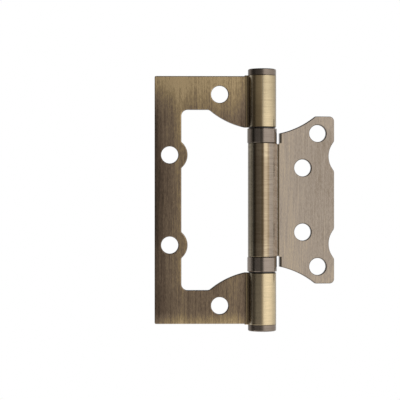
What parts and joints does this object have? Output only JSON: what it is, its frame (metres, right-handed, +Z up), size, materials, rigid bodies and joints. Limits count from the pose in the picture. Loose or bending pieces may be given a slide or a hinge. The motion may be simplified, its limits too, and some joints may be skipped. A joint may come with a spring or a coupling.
{
  "type": "non-mortise door hinge",
  "caption": "Flush door hinge: the small leaf nests in the window of the large one, and the barrel turns on ball bearings round a fixed pin.",
  "frame": {"origin": "on the pin's axis, at mid height of the barrel", "axes": "+Z up along the pin, the outer leaf flat towards -X with its screwed-down face towards -Y, the inner leaf towards +X and 6 degrees short of flat"},
  "size_m": [0.0728, 0.012, 0.106],
  "materials": {
    "leaf_bronze": "brushed antique bronze plating on steel",
    "cap_bronze": "darker antique bronze plating on steel",
    "pin_steel": "drawn steel",
    "race_steel": "hardened steel, ground",
    "cage_brass": "pressed brass"
  },
  "bodies": {
    "outer": {"outer_leaf": "leaf_bronze", "hinge_pin": "pin_steel", "top_cap": "cap_bronze", "bottom_cap": "cap_bronze", "upper_end_race": "race_steel", "lower_end_race": "race_steel"},
    "inner": {"inner_leaf": "leaf_bronze", "upper_sleeve": "cap_bronze", "upper_middle_race": "race_steel", "lower_sleeve": "cap_bronze", "lower_middle_race": "race_steel"},
    "upper_ball_ring": {"upper_cage": "cage_brass", "upper_balls": "race_steel"},
    "lower_ball_ring": {"lower_cage": "cage_brass", "lower_balls": "race_steel"}
  },
  "joints": [
    {"name": "leaf_swing", "type": "hinge", "parent": "outer", "child": "inner", "pos_m": [0, 0, 0], "axis": [0, 0, 1], "range_deg": [-6, 174]},
    {"name": "upper_balls_roll", "type": "hinge", "parent": "outer", "child": "upper_ball_ring", "pos_m": [0, 0, 0.0261], "axis": [0, 0, 1], "range_deg": [-3, 87]},
    {"name": "lower_balls_roll", "type": "hinge", "parent": "outer", "child": "lower_ball_ring", "pos_m": [0, 0, -0.0261], "axis": [0, 0, 1], "range_deg": [-3, 87]}
  ],
  "couplings": [
    {"joint": "upper_balls_roll", "follows": "leaf_swing", "ratio": 0.5},
    {"joint": "lower_balls_roll", "follows": "leaf_swing", "ratio": 0.5}
  ]
}
